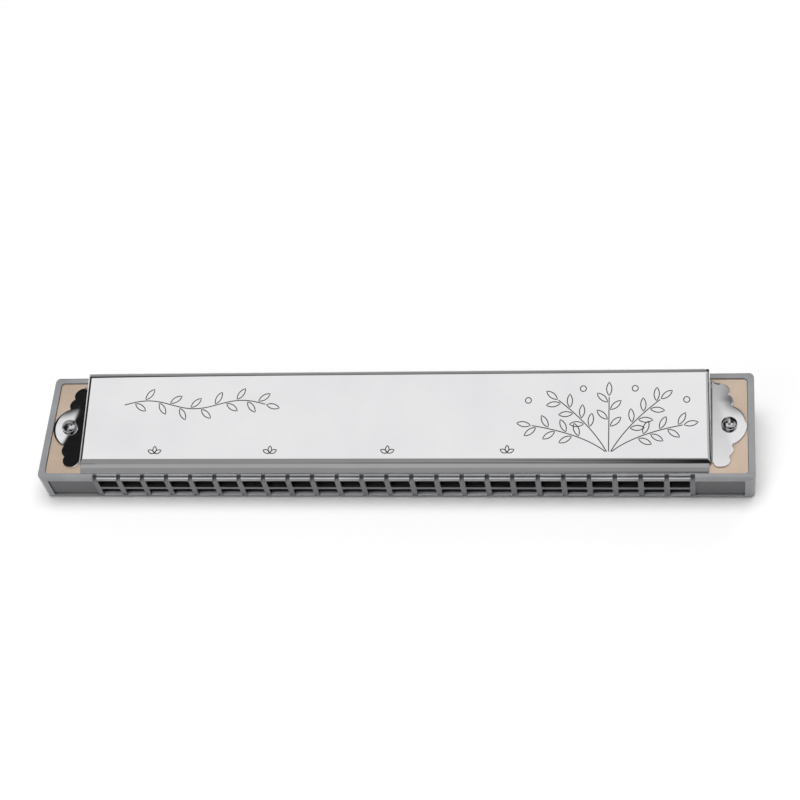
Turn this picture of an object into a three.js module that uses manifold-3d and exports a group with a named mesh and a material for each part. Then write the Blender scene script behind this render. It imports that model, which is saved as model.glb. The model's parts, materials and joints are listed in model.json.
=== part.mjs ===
// A tremolo harmonica with 24 columns of holes in two rows, 48 reeds in all.
//
// Everything is modelled around the middle of the comb: +X runs along the harmonica towards the high
// notes, +Y points away from the mouth side and +Z is up. The covers slope, so at rest the harmonica
// leans forward on the flat of its lower cover. One turned group holds that lean.
import * as THREE from 'three';
import { mergeVertices } from 'three/addons/utils/BufferGeometryUtils.js';
import Module from 'manifold-3d';

const wasm = await Module();
wasm.setup();

// ---------------------------------------------------------------- driving dimensions, mm

const COLUMNS = 24;
const PITCH = 6.285;
const FIT_GAP = 0.05;        // between pieces that lie on each other
const SLIDE_GAP = 0.1;       // round a piece that drops into another
const PAST = 1;              // how far a cutting shape reaches past the face that it cuts
const ARC_STEP = 0.3;        // radians between the points of an outline's arcs

const COMB = {
  length: 181, depth: 30.6, height: 9.2, cornerRadius: 1.6, mouthEdge: 1.1, rearEdge: 0.5,
  rim: 1.65, recess: 1.45, recessRadius: 1.0, partition: 0.9, chamberWidth: 4.95, chamberTail: 3.3,
};
const LIP = { inset: 0.75, groove: 0.45, notch: 1.2, cut: 0.45 };
const END_PANEL = { gap: 0.6, pillar: 2.5, height: 7.0, cut: 0.35 };

const PLATE = { thickness: 1.0, cornerRadius: 0.8 };
const REED = {
  slotFront: -8.3, longest: 17.5, shortest: 8.5, widest: 2.3, narrowest: 1.9,
  rootThickness: 0.28, tipThickness: 0.2, slotGap: 0.1, lift: 0.04,
};
const PAD = { length: 2.8, sideLap: 0.2, thickness: 0.4, sink: 0.1 };
const RIVET = { radius: 0.8, head: 0.3, tail: 0.15, sides: 10 };

const COVER = {
  sheet: 0.45, footHalf: 80.1, flangeHalf: 79.3, draft: 0.08, flangeFront: -13.6, flangeLip: 0.35,
  foldY: -11.4, foldRise: 1.2, crownY: 11.0, crownRise: 6.3, rollRadius: 1.7, rollTurn: 1.6,
  rollSteps: 6,
};
const EAR = {
  front: -11.8, back: 11.9, cornerRise: 0.2, thickness: 0.5,
  lobes: [{ x: 83.2, bulge: 0 }, { x: 84.25, y: -8.6, bulge: 0.75 }, { x: 84.95, y: -5.45, bulge: 0.7 }],
  middleBulge: 3.6,
};
const SCREW = {
  x: 84.3, headRadius: 1.95, headHeight: 1.25, domeStart: 0.55, crownShare: 0.72, crownDrop: 0.12,
  shankRadius: 0.95, hole: 1.15,
  slotWidth: 0.5, slotLength: 2.3, slotDepth: 0.75, pastNut: 0.4, sides: 20,
};
const NUT = { acrossFlats: 4.0, height: 1.6, bore: 1.08 };

// ---------------------------------------------------------------- worked-out dimensions

const combHalf = COMB.height / 2;
const mouthY = -COMB.depth / 2;
const recessFloor = combHalf - COMB.recess;
const rimInnerY = COMB.depth / 2 - COMB.rim;
const rimInnerX = COMB.length / 2 - COMB.rim;
const plateInner = recessFloor + FIT_GAP;
const plateOuter = plateInner + PLATE.thickness;
const coverFoot = plateOuter + FIT_GAP;
const foldZ = combHalf + COVER.foldRise;
const crownZ = combHalf + COVER.crownRise;
const coverSlope = Math.atan2(crownZ - foldZ, COVER.crownY - COVER.foldY);
const earOuter = coverFoot + EAR.thickness;

const columns = Array.from({ length: COLUMNS }, (_, index) => {
  const share = index / (COLUMNS - 1);
  const slotLength = THREE.MathUtils.lerp(REED.longest, REED.shortest, share);
  return {
    label: String(index + 1).padStart(2, '0'),
    x: (index - (COLUMNS - 1) / 2) * PITCH,
    blow: index % 2 === 0,
    slotBack: REED.slotFront + slotLength,
    reedWidth: THREE.MathUtils.lerp(REED.widest, REED.narrowest, share),
  };
});

// ---------------------------------------------------------------- materials

const materials = {
  plastic: new THREE.MeshStandardMaterial({ color: 0x8d8d92, roughness: 0.35, metalness: 0.0 }),
  brass: new THREE.MeshStandardMaterial({ color: 0xc8b29e, roughness: 0.4, metalness: 1.0 }),
  reed: new THREE.MeshStandardMaterial({ color: 0xd2b578, roughness: 0.35, metalness: 1.0 }),
  mirror: new THREE.MeshStandardMaterial({ color: 0xe6e6ea, roughness: 0.05, metalness: 1.0 }),
  steel: new THREE.MeshStandardMaterial({ color: 0xb4b4b8, roughness: 0.2, metalness: 1.0 }),
};

// ---------------------------------------------------------------- helpers

function toSolid(geometry) {
  const bare = geometry.clone();
  bare.deleteAttribute('normal');
  bare.deleteAttribute('uv');
  const merged = mergeVertices(bare, 1e-5);
  const triVerts = Uint32Array.from(merged.index.array);
  const vertProperties = Float32Array.from(merged.attributes.position.array);
  return new wasm.Manifold(new wasm.Mesh({ numProp: 3, vertProperties, triVerts }));
}

function toGeometry(solid) {
  const mesh = solid.getMesh();
  const geometry = new THREE.BufferGeometry();
  geometry.setAttribute('position', new THREE.BufferAttribute(mesh.vertProperties, 3));
  geometry.setIndex(new THREE.BufferAttribute(mesh.triVerts, 1));
  return geometry;
}

// A box given by its two ends along each axis.
function block([x0, x1], [y0, y1], [z0, z1]) {
  const box = new THREE.BoxGeometry(x1 - x0, y1 - y0, z1 - z0);
  return toSolid(box.translate((x0 + x1) / 2, (y0 + y1) / 2, (z0 + z1) / 2));
}

function centred(width) {
  return [-width / 2, width / 2];
}

function extruded(shape, depth, curveSegments) {
  return new THREE.ExtrudeGeometry(shape, { depth, bevelEnabled: false, curveSegments });
}

// An outline drawn in plan (x, y), standing between two heights.
function planSolid(shape, [z0, z1], curveSegments = 4) {
  return toSolid(extruded(shape, z1 - z0, curveSegments).translate(0, 0, z0));
}

// An outline drawn as (y, z), running along X between two ends.
function lengthwiseSolid(shape, [x0, x1], curveSegments = 4) {
  const geometry = extruded(shape, x1 - x0, curveSegments);
  const swap = new THREE.Matrix4().makeBasis(
    new THREE.Vector3(0, 1, 0), new THREE.Vector3(0, 0, 1), new THREE.Vector3(1, 0, 0));
  return toSolid(geometry.applyMatrix4(swap).translate(x0, 0, 0));
}

// An outline drawn as (x, z), running along Y between two ends.
function crosswiseSolid(shape, [y0, y1]) {
  const geometry = extruded(shape, y1 - y0, 1);
  return toSolid(geometry.rotateX(Math.PI / 2).translate(0, y1, 0));
}

function uprightCylinder(radius, [z0, z1], x, y, sides) {
  const cylinder = new THREE.CylinderGeometry(radius, radius, z1 - z0, sides).rotateX(Math.PI / 2);
  return toSolid(cylinder.translate(x, y, (z0 + z1) / 2));
}

function roundedRectangle([x0, x1], [y0, y1], radii) {
  const [lowLeft, lowRight, highRight, highLeft] = radii;
  const shape = new THREE.Shape();
  shape.moveTo(x0 + lowLeft, y0);
  shape.absarc(x1 - lowRight, y0 + lowRight, lowRight, -Math.PI / 2, 0);
  shape.absarc(x1 - highRight, y1 - highRight, highRight, 0, Math.PI / 2);
  shape.absarc(x0 + highLeft, y1 - highLeft, highLeft, Math.PI / 2, Math.PI);
  shape.absarc(x0 + lowLeft, y0 + lowLeft, lowLeft, Math.PI, 1.5 * Math.PI);
  return shape;
}

function polygon(points) {
  return new THREE.Shape(points.map(([u, v]) => new THREE.Vector2(u, v)));
}

// The same piece on the other face of the comb.
function mirrored(solid) {
  return solid.mirror([0, 0, 1]);
}

const leaning = new THREE.Group();

function addPiece(name, solid, material) {
  const mesh = new THREE.Mesh(toGeometry(solid), material);
  mesh.name = name;
  leaning.add(mesh);
}

// ---------------------------------------------------------------- comb

function combBlank() {
  const { cornerRadius, mouthEdge, rearEdge, length } = COMB;
  const section = roundedRectangle(
    centred(COMB.depth), centred(COMB.height), [mouthEdge, rearEdge, rearEdge, mouthEdge]);
  const plan = roundedRectangle(centred(length), centred(COMB.depth), Array(4).fill(cornerRadius));
  return lengthwiseSolid(section, centred(length), 3)
    .intersect(planSolid(plan, centred(COMB.height + 2 * PAST), 5));
}

// Everything that is cut into the upper half: the recess for the plate, the chambers with their mouth
// holes, and the groove and notches that part the lip into one bar per hole.
function upperCuts() {
  const recess = roundedRectangle(
    centred(2 * rimInnerX), centred(2 * rimInnerY), Array(4).fill(COMB.recessRadius));
  const cuts = [planSolid(recess, [recessFloor, combHalf + PAST], 3)];
  const floor = COMB.partition / 2;
  const halfWidth = COMB.chamberWidth / 2;
  for (const { x, slotBack } of columns) {
    const width = [x - halfWidth, x + halfWidth];
    cuts.push(block(width, [mouthY - PAST, PAST - rimInnerY], [floor, recessFloor]));
    cuts.push(block(width, [-rimInnerY, slotBack + COMB.chamberTail], [floor, recessFloor + PAST / 2]));
  }
  const lipBack = mouthY + LIP.inset;
  const lipFloor = combHalf - LIP.cut;
  const rowHalf = (COLUMNS * PITCH + LIP.notch) / 2;
  cuts.push(block(centred(2 * rowHalf), [lipBack - LIP.groove / 2, lipBack + LIP.groove / 2],
    [lipFloor, combHalf + PAST]));
  for (let edge = 0; edge <= COLUMNS; edge += 1) {
    const x = (edge - COLUMNS / 2) * PITCH;
    cuts.push(block([x - LIP.notch / 2, x + LIP.notch / 2], [mouthY - PAST, lipBack],
      [lipFloor, combHalf + PAST]));
  }
  return wasm.Manifold.union(cuts);
}

function endPanelCut(side) {
  const inner = (COLUMNS * PITCH) / 2 + END_PANEL.gap;
  const outer = COMB.length / 2 - END_PANEL.pillar;
  const span = side > 0 ? [inner, outer] : [-outer, -inner];
  return block(span, [mouthY - PAST, mouthY + END_PANEL.cut], centred(END_PANEL.height));
}

function screwHole(side) {
  return uprightCylinder(SCREW.hole, centred(COMB.height + 4 * PAST), side * SCREW.x, 0, SCREW.sides);
}

function comb() {
  const upper = upperCuts();
  const cuts = [upper, mirrored(upper)];
  for (const side of [-1, 1]) {
    cuts.push(endPanelCut(side), screwHole(side));
  }
  return combBlank().subtract(wasm.Manifold.union(cuts));
}

// ---------------------------------------------------------------- reed plates

// A blow reed is riveted inside the plate behind its slot, a draw reed outside in front of it.
function reedSeat({ blow, slotBack, reedWidth, x }) {
  const padNear = blow ? slotBack + REED.slotGap : REED.slotFront - REED.slotGap;
  const padFar = blow ? padNear + PAD.length : padNear - PAD.length;
  const face = blow ? plateInner : plateOuter;
  const outward = blow ? -1 : 1;
  const halfWidth = reedWidth / 2 + PAD.sideLap;
  return {
    width: [x - halfWidth, x + halfWidth],
    length: [Math.min(padNear, padFar), Math.max(padNear, padFar)],
    rivetY: (padNear + padFar) / 2,
    face,
    outward,
    farFace: blow ? plateOuter : plateInner,
  };
}

function between(start, reach) {
  return [Math.min(start, start + reach), Math.max(start, start + reach)];
}

function rivetedPad(column) {
  const seat = reedSeat(column);
  const { outward, face, farFace, rivetY } = seat;
  const padBase = face - outward * PAD.sink;
  const headReach = outward * (PAD.sink + PAD.thickness + RIVET.head);
  const pad = block(seat.width, seat.length, between(padBase, outward * (PAD.sink + PAD.thickness)));
  const head = uprightCylinder(RIVET.radius, between(padBase, headReach), column.x, rivetY, RIVET.sides);
  const tailBase = farFace + outward * PAD.sink;
  const tail = uprightCylinder(RIVET.radius, between(tailBase, -outward * (PAD.sink + RIVET.tail)),
    column.x, rivetY, RIVET.sides);
  return wasm.Manifold.union([pad, head, tail]);
}

function reedPlate() {
  const halfX = rimInnerX - SLIDE_GAP;
  const halfY = rimInnerY - SLIDE_GAP;
  const outline = roundedRectangle([-halfX, halfX], [-halfY, halfY], Array(4).fill(PLATE.cornerRadius));
  const sheet = planSolid(outline, [plateInner, plateOuter], 3);
  const cuts = columns.map(({ x, slotBack, reedWidth }) => {
    const half = reedWidth / 2 + REED.slotGap;
    return block([x - half, x + half], [REED.slotFront, slotBack], [plateInner - PAST, plateOuter + PAST]);
  });
  cuts.push(screwHole(-1), screwHole(1));
  return wasm.Manifold.union([sheet.subtract(wasm.Manifold.union(cuts)), ...columns.map(rivetedPad)]);
}

// A tongue thins towards its tip. It hangs from the edge of its pad over its slot.
function reedTongue({ blow, slotBack, reedWidth, x }) {
  const root = blow ? slotBack : REED.slotFront;
  const tip = blow ? REED.slotFront + REED.slotGap : slotBack - REED.slotGap;
  const outward = blow ? -1 : 1;
  const base = (blow ? plateInner : plateOuter) + outward * REED.lift;
  const outline = polygon([
    [root, base], [tip, base], [tip, base + outward * REED.tipThickness],
    [root, base + outward * REED.rootThickness],
  ]);
  return lengthwiseSolid(outline, [x - reedWidth / 2, x + reedWidth / 2]);
}

// ---------------------------------------------------------------- covers

// The outer line of the cover's section from the flange's foot to the end of the rolled rear edge, and
// the same line moved inwards by the thickness of the sheet.
function coverLine(inset) {
  const flangeAngle = Math.atan2(foldZ - coverFoot - COVER.flangeLip, COVER.foldY - COVER.flangeFront);
  const miter = Math.tan((flangeAngle - coverSlope) / 2);
  const lipMiter = Math.tan((Math.PI / 2 - flangeAngle) / 2);
  const line = [
    [COVER.flangeFront + inset, coverFoot - (inset > 0 ? PAST : 0)],
    [COVER.flangeFront + inset, coverFoot + COVER.flangeLip - inset * lipMiter],
    [COVER.foldY + inset * Math.sin(flangeAngle) - inset * miter * Math.cos(flangeAngle),
      foldZ - inset * Math.cos(flangeAngle) - inset * miter * Math.sin(flangeAngle)],
  ];
  const rollY = COVER.crownY + COVER.rollRadius * Math.sin(coverSlope);
  const rollZ = crownZ - COVER.rollRadius * Math.cos(coverSlope);
  for (let step = 0; step <= COVER.rollSteps; step += 1) {
    const angle = Math.PI / 2 + coverSlope - (COVER.rollTurn * step) / COVER.rollSteps;
    const radius = COVER.rollRadius - inset;
    line.push([rollY + radius * Math.cos(angle), rollZ + radius * Math.sin(angle)]);
  }
  return line;
}

// The covers' end panels lean inwards, so each outline is also cut by a tapering one along X.
function taper(halfFoot, top) {
  const halfTop = halfFoot - COVER.draft * (top - coverFoot);
  const below = coverFoot - PAST;
  const halfBelow = halfFoot + COVER.draft * PAST;
  const outline = polygon([[-halfBelow, below], [halfBelow, below], [halfTop, top], [-halfTop, top]]);
  return crosswiseSolid(outline, centred(2 * COMB.depth));
}

// One ear's outline, from its inner front corner round to its inner back corner. Each stretch is an arc
// that bulges outwards by the given amount.
function earOutline(side) {
  const [corner, outerLobe, innerLobe] = EAR.lobes;
  const foot = COVER.footHalf - COVER.sheet;
  const points = [
    { x: foot, y: EAR.front, bulge: 0 },
    { ...corner, y: EAR.front + EAR.cornerRise },
    outerLobe,
    innerLobe,
    { x: innerLobe.x, y: -innerLobe.y, bulge: EAR.middleBulge },
    { x: outerLobe.x, y: -outerLobe.y, bulge: innerLobe.bulge },
    { x: corner.x, y: EAR.back - EAR.cornerRise, bulge: outerLobe.bulge },
    { x: foot, y: EAR.back, bulge: 0 },
  ];
  const line = [new THREE.Vector2(points[0].x, points[0].y)];
  for (let index = 1; index < points.length; index += 1) {
    const start = new THREE.Vector2(points[index - 1].x, points[index - 1].y);
    const end = new THREE.Vector2(points[index].x, points[index].y);
    line.push(...arcPoints(start, end, points[index].bulge), end);
  }
  return new THREE.Shape(line.map(({ x, y }) => new THREE.Vector2(side * x, y)));
}

// Points between the ends of an arc whose middle stands off its chord by the bulge.
function arcPoints(start, end, bulge) {
  if (bulge === 0) {
    return [];
  }
  const chord = end.clone().sub(start);
  const normal = new THREE.Vector2(chord.y, -chord.x).normalize();
  const radius = (chord.length() ** 2 / 4 + bulge ** 2) / (2 * bulge);
  const centre = start.clone().add(end).multiplyScalar(0.5).addScaledVector(normal, bulge - radius);
  const opening = 2 * Math.asin(chord.length() / 2 / radius);
  const turn = bulge > radius ? 2 * Math.PI - opening : opening;
  const steps = Math.max(3, Math.ceil(turn / ARC_STEP));
  const spoke = start.clone().sub(centre);
  return Array.from({ length: steps - 1 }, (_, index) => spoke.clone()
    .rotateAround(new THREE.Vector2(), (turn * (index + 1)) / steps).add(centre));
}

function cover() {
  const outerLine = coverLine(0);
  const innerLine = coverLine(COVER.sheet);
  const [rollEndY, rollEndZ] = outerLine[outerLine.length - 1];
  const behind = rollEndY + PAST;
  const outer = polygon([...outerLine, [rollEndY, coverFoot]]);
  const inner = polygon([...innerLine, [behind, innerLine[innerLine.length - 1][1]],
    [behind, coverFoot - PAST]]);
  const far = COMB.length;
  const shell = lengthwiseSolid(outer, centred(far)).intersect(taper(COVER.footHalf, crownZ + PAST));
  const hollow = lengthwiseSolid(inner, centred(far))
    .intersect(taper(COVER.footHalf - COVER.sheet, crownZ + PAST));
  let sheet = shell.subtract(hollow);
  for (const side of [-1, 1]) {
    const corner = side > 0 ? [COVER.flangeHalf, far] : [-far, -COVER.flangeHalf];
    sheet = sheet.subtract(block(corner, [-COMB.depth, EAR.front], [0, crownZ]));
    const ear = planSolid(earOutline(side), [coverFoot, earOuter]);
    sheet = sheet.add(ear.subtract(screwHole(side)));
  }
  return sheet;
}

// ---------------------------------------------------------------- screws and nuts

function screw(side) {
  const seat = earOuter + FIT_GAP;
  const end = -(earOuter + FIT_GAP + NUT.height + SCREW.pastNut);
  const top = seat + SCREW.headHeight;
  const profile = [[0, end], [SCREW.shankRadius, end], [SCREW.shankRadius, seat], [SCREW.headRadius, seat],
    [SCREW.headRadius, seat + SCREW.domeStart],
    [SCREW.headRadius * SCREW.crownShare, top - SCREW.crownDrop], [0, top]];
  const lathe = new THREE.LatheGeometry(profile.map(([r, z]) => new THREE.Vector2(r, z)), SCREW.sides);
  const body = toSolid(lathe.rotateX(Math.PI / 2));
  const slot = [top - SCREW.slotDepth, top + PAST];
  const cross = block(centred(SCREW.slotLength), centred(SCREW.slotWidth), slot)
    .add(block(centred(SCREW.slotWidth), centred(SCREW.slotLength), slot));
  return body.subtract(cross).translate([side * SCREW.x, 0, 0]);
}

function nut(side) {
  const top = -(earOuter + FIT_GAP);
  const corner = NUT.acrossFlats / Math.sqrt(3);
  const heights = [top - NUT.height, top];
  const through = [heights[0] - PAST, heights[1] + PAST];
  return uprightCylinder(corner, heights, side * SCREW.x, 0, 6)
    .subtract(uprightCylinder(NUT.bore, through, side * SCREW.x, 0, SCREW.sides));
}

// ---------------------------------------------------------------- assembly

addPiece('comb', comb(), materials.plastic);
addPiece('upper_reed_plate', reedPlate(), materials.brass);
addPiece('lower_reed_plate', mirrored(reedPlate()), materials.brass);
addPiece('upper_cover', cover(), materials.mirror);
addPiece('lower_cover', mirrored(cover()), materials.mirror);
for (const [end, side] of [['bass', -1], ['treble', 1]]) {
  addPiece(`${end}_screw`, screw(side), materials.steel);
  addPiece(`${end}_nut`, nut(side), materials.steel);
}
for (const column of columns) {
  addPiece(`upper_reed_${column.label}`, reedTongue(column), materials.reed);
  addPiece(`lower_reed_${column.label}`, mirrored(reedTongue(column)), materials.reed);
}

// At rest the flat of the lower cover lies on the ground and the origin is under the middle.
leaning.rotation.x = coverSlope;
leaning.updateMatrixWorld(true);
const box = new THREE.Box3().setFromObject(leaning, true);
leaning.position.set(0, -(box.min.y + box.max.y) / 2, -box.min.z);

const harmonica = new THREE.Group();
harmonica.name = 'harmonica';
harmonica.add(leaning);

export default harmonica;
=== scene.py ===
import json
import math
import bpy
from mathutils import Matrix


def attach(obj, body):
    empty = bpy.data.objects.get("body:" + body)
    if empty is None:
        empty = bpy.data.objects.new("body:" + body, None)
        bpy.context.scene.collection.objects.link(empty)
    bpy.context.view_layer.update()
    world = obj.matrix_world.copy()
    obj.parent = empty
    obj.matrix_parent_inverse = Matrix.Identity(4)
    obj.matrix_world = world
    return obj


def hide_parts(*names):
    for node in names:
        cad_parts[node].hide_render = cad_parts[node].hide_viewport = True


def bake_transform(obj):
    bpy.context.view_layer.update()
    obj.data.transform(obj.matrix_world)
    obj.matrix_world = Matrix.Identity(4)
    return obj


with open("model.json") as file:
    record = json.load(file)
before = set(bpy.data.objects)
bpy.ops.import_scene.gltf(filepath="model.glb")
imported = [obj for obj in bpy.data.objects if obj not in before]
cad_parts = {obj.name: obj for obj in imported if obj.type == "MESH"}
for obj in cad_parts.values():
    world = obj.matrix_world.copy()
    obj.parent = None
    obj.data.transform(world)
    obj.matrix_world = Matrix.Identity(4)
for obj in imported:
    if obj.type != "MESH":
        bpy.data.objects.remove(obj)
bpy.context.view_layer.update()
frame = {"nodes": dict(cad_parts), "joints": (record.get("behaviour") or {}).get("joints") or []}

# Looks of a tremolo harmonica with 24 columns of holes and 48 reeds.
#
# Everything is drawn in millimetres round the middle of the comb, with +X towards the high notes, +Y away
# from the mouth side and +Z up. PLACE turns that into the row frame, where the harmonica leans forward on
# its lower cover. The lower half is the upper one mirrored in Z.
from types import SimpleNamespace as Sizes

import bmesh
import bpy
from mathutils import Matrix, Vector

scene = bpy.context.scene

# ---- where the frame says things are

MM = 0.001
HINGES = {joint["child"]: Vector(joint["pos_m"]) for joint in frame["joints"]}
comb_up = (HINGES["upper_reed_01"] - HINGES["lower_reed_01"]).normalized()
LEAN = math.atan2(-comb_up.y, comb_up.z)


def extent(points):
    """Lowest and highest corner of some points."""
    low = Vector(min(point[axis] for point in points) for axis in range(3))
    high = Vector(max(point[axis] for point in points) for axis in range(3))
    return low, high


def find_place():
    """The matrix from millimetres round the middle of the comb to the row frame."""
    turn = Matrix.Rotation(LEAN, 4, "X")
    level = turn.inverted()
    low, high = extent([level @ vertex.co for vertex in frame["nodes"]["comb"].data.vertices])
    return Matrix.Translation(turn @ ((low + high) / 2)) @ turn @ Matrix.Scale(MM, 4)


PLACE = find_place()


def level_box(node):
    """Corners of a CAD node in millimetres round the middle of the comb."""
    back = PLACE.inverted()
    return extent([back @ vertex.co for vertex in frame["nodes"][node].data.vertices])


def level_hinge(body):
    return PLACE.inverted() @ HINGES[body]


# ---- driving dimensions, mm

COMB_LOW, COMB_HIGH = level_box("comb")
MOUTH_Y = COMB_LOW.y
COMB_HALF = COMB_HIGH.z
HALF_LENGTH = COMB_HIGH.x

REED_NODES = sorted(name for name in frame["nodes"] if "_reed_" in name and "plate" not in name)
UPPER_REEDS = [name for name in REED_NODES if name.startswith("upper")]
COLUMN_X = [level_hinge(name).x for name in UPPER_REEDS]
PITCH = COLUMN_X[1] - COLUMN_X[0]

COMB = Sizes(
    corner=1.6, mouth_edge=1.1, rear_edge=0.5, rim=1.65, recess=1.45, recess_corner=1.0, partition=0.9,
    chamber=4.95, tail=3.3, hole_corner=0.35, soften=0.09)
# LIP.bright is how far in from the mouth the hole floors get the painted light.
LIP = Sizes(
    inset=0.75, groove=0.5, groove_corner=0.1, cut=0.6, notch=1.1, notch_reach=1.4, notch_corner=0.12,
    bright=1.0, flare=0.4, flare_reach=1.2)
END_PANEL = Sizes(gap=0.6, pillar=2.5, height=7.0, cut=0.35, corner=0.5)
PLATE = Sizes(gap=0.05, slide=0.1, thickness=1.0, corner=0.8, slot_gap=0.1, slot_corner=0.08, soften=0.05)
REED = Sizes(
    root=0.28, belly=0.15, tip=0.2, lift=0.04, pad_length=2.8, pad_lap=0.2, pad=0.4, pad_base=0.02,
    chamfer=0.035, tip_narrowing=0.94, thinnest_at=0.55, first_share=0.015, ease=0.12, bent_share=0.6)
RIVET = Sizes(
    radius=0.78, head=0.3, tail_radius=0.66, tail=0.15, tail_rise=0.05, tail_inset=0.08, hole=0.5,
    hole_gap=0.02)
COVER = Sizes(
    sheet=0.45, foot_half=80.1, draft=0.08, flange_y=-13.6, lip=0.42, flange_middle_y=-12.5,
    flange_middle_rise=0.413, step_y=-11.3, step_rise=0.75, fold_y=-10.65, fold_rise=1.37, crown_y=11.0,
    crown_rise=6.3, lip_bend=0.5, flange_bend=18.0, step_bend=0.25, fold_bend=1.8, roll=2.0, roll_turn=1.6,
    edge_bend=1.2, corner_bend=0.5, tighten=1.7, ear_bend=0.2, panel_least=0.02, rim_soften=0.04)
EAR = Sizes(
    front=-11.8, back=11.9, corner=(1.6, 0.2), lobe_x=(83.2, 84.25, 84.95), lobe_y=(8.6, 5.45),
    bulges=(0.75, 0.7, 3.6), crease=82.7, skew=0.26, ease=1.6, dish=math.radians(3.2), dish_half=6.8,
    dish_fade=4)
SCREW = Sizes(
    head=1.95, height=1.25, shank=0.95, hole=1.15, slot_width=0.62, slot_length=2.3, slot_depth=0.8,
    slot_taper=(1.35, 0.42), slot_width_least=0.55, crown_drop=0.72, rim=0.08, neck=0.7, thread_pitch=0.4,
    thread_depth=0.13, soften=0.05)
NUT = Sizes(across_flats=4.0, bore=1.08, chamfer=0.22, chamfer_inset=0.3, clear=0.01, soften=0.06)

# How far cuts run past a surface and past the whole instrument.
PAST = 1.0
THROUGH = 20.0
BORE_STEPS = 48

# Where the painted light and shade on the comb's plastic change: a margin, and how far a face leans.
PAINTED_LIGHT_BOUNDS = Sizes(margin=0.08, facing_back=0.25, facing_mouth=-0.7, level=0.7)

ROW_HALF = (len(COLUMN_X) * PITCH + LIP.notch) / 2
RECESS_FLOOR = COMB_HALF - COMB.recess
RIM_INNER_X = HALF_LENGTH - COMB.rim
RIM_INNER_Y = COMB_HIGH.y - COMB.rim
PLATE_INNER = RECESS_FLOOR + PLATE.gap
PLATE_OUTER = PLATE_INNER + PLATE.thickness
COVER_FOOT = PLATE_OUTER + PLATE.gap
EAR_TOP = COVER_FOOT + COVER.sheet
FOLD_Z = COMB_HALF + COVER.fold_rise
CROWN_Z = COMB_HALF + COVER.crown_rise
COVER_SLOPE = math.atan2(CROWN_Z - FOLD_Z, COVER.crown_y - COVER.fold_y)
SCREW_X = sum(level_box("treble_screw")[corner].x for corner in (0, 1)) / 2

# ---- outlines


def spread(start, end, steps):
    """start and end with steps - 1 values between them."""
    return [start + (end - start) * step / steps for step in range(steps + 1)]


def arc(centre, radius, start, end, steps):
    """Points of an arc, its angles in degrees."""
    turns = [math.radians(angle) for angle in spread(start, end, steps)]
    return [(centre[0] + radius * math.cos(a), centre[1] + radius * math.sin(a)) for a in turns]


def rounded_rectangle(u_range, v_range, radii, steps=6):
    """One radius for every corner, or a list that goes round from low u low v by high u low v."""
    (u0, u1), (v0, v1) = u_range, v_range
    r0, r1, r2, r3 = radii if isinstance(radii, list) else [radii] * 4
    return (
        arc((u0 + r0, v0 + r0), r0, 180, 270, steps) + arc((u1 - r1, v0 + r1), r1, 270, 360, steps)
        + arc((u1 - r2, v1 - r2), r2, 0, 90, steps) + arc((u0 + r3, v1 - r3), r3, 90, 180, steps)
    )


def centred(width):
    return (-width / 2, width / 2)


def left_of(ahead):
    return Vector((-ahead.y, ahead.x))


def filleted(corners, radii, steps):
    """A line through corners with rounded bends, as (point, left-hand normal) pairs."""
    points = [Vector(corner) for corner in corners]
    ahead = [(after - point).normalized() for point, after in zip(points, points[1:])]
    line = [(points[0], left_of(ahead[0]))]
    for point, radius, before, after in zip(points[1:-1], radii, ahead, ahead[1:]):
        turn = before.angle_signed(after)
        side = -1 if turn > 0 else 1
        start = point - before * (radius * math.tan(abs(turn) / 2))
        centre = start + left_of(before) * radius * side
        for share in spread(0, 1, steps):
            normal = left_of(Matrix.Rotation(-turn * share, 2) @ before)
            line.append((centre - normal * radius * side, normal))
    return line + [(points[-1], left_of(ahead[-1]))]


# ---- mesh building

AXES = {"X": (1, 2, 0), "Y": (0, 2, 1), "Z": (0, 1, 2)}


def join_rings(bm, rings, close_ends=True):
    """Faces between rings that have the same number of points, and over the two end rings."""
    for ring, following in zip(rings, rings[1:]):
        for index in range(len(ring)):
            after = (index + 1) % len(ring)
            bm.faces.new((ring[index], ring[after], following[after], following[index]))
    if close_ends:
        bm.faces.new(list(reversed(rings[0])))
        bm.faces.new(rings[-1])


def prism(bm, outline, along, low, high):
    """An outline pushed along one axis: (y, z) along X, (x, z) along Y or (x, y) along Z."""
    order = AXES[along]
    join_rings(bm, [
        [bm.verts.new([value for _, value in sorted(zip(order, (u, v, level)))]) for u, v in outline]
        for level in (low, high)])


def circle(radius, steps, x=0.0, y=0.0):
    turns = [2 * math.pi * step / steps for step in range(steps)]
    return [(x + radius * math.cos(a), y + radius * math.sin(a)) for a in turns]


def lathe(bm, profile, x, y, steps):
    """A profile of (radius, z) pairs turned about an upright axis. It starts and ends on the axis."""
    ends = [bm.verts.new((x, y, profile[index][1])) for index in (0, -1)]
    rings = [[bm.verts.new((*point, z)) for point in circle(radius, steps, x, y)]
             for radius, z in profile[1:-1]]
    join_rings(bm, rings, close_ends=False)
    for end, ring in zip(ends, (rings[0], rings[-1])):
        for index in range(steps):
            bm.faces.new((end, ring[index], ring[(index + 1) % steps]))


def quarter(steps):
    """Angles from 0 up to a right angle, which is left out."""
    return [math.pi / 2 * step / steps for step in range(steps)]


def shown(mesh, name="shape"):
    """An object that shows mesh."""
    made = bpy.data.objects.new(name, mesh)
    scene.collection.objects.link(made)
    return made


def drawn(bm, name="shape"):
    """An object made of the faces in bm."""
    mesh = bpy.data.meshes.new(name)
    bm.to_mesh(mesh)
    bm.free()
    return shown(mesh, name)


def solid(bm):
    """A scratch object made of the closed shells in bm."""
    bmesh.ops.recalc_face_normals(bm, faces=bm.faces)
    return drawn(bm)


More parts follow.
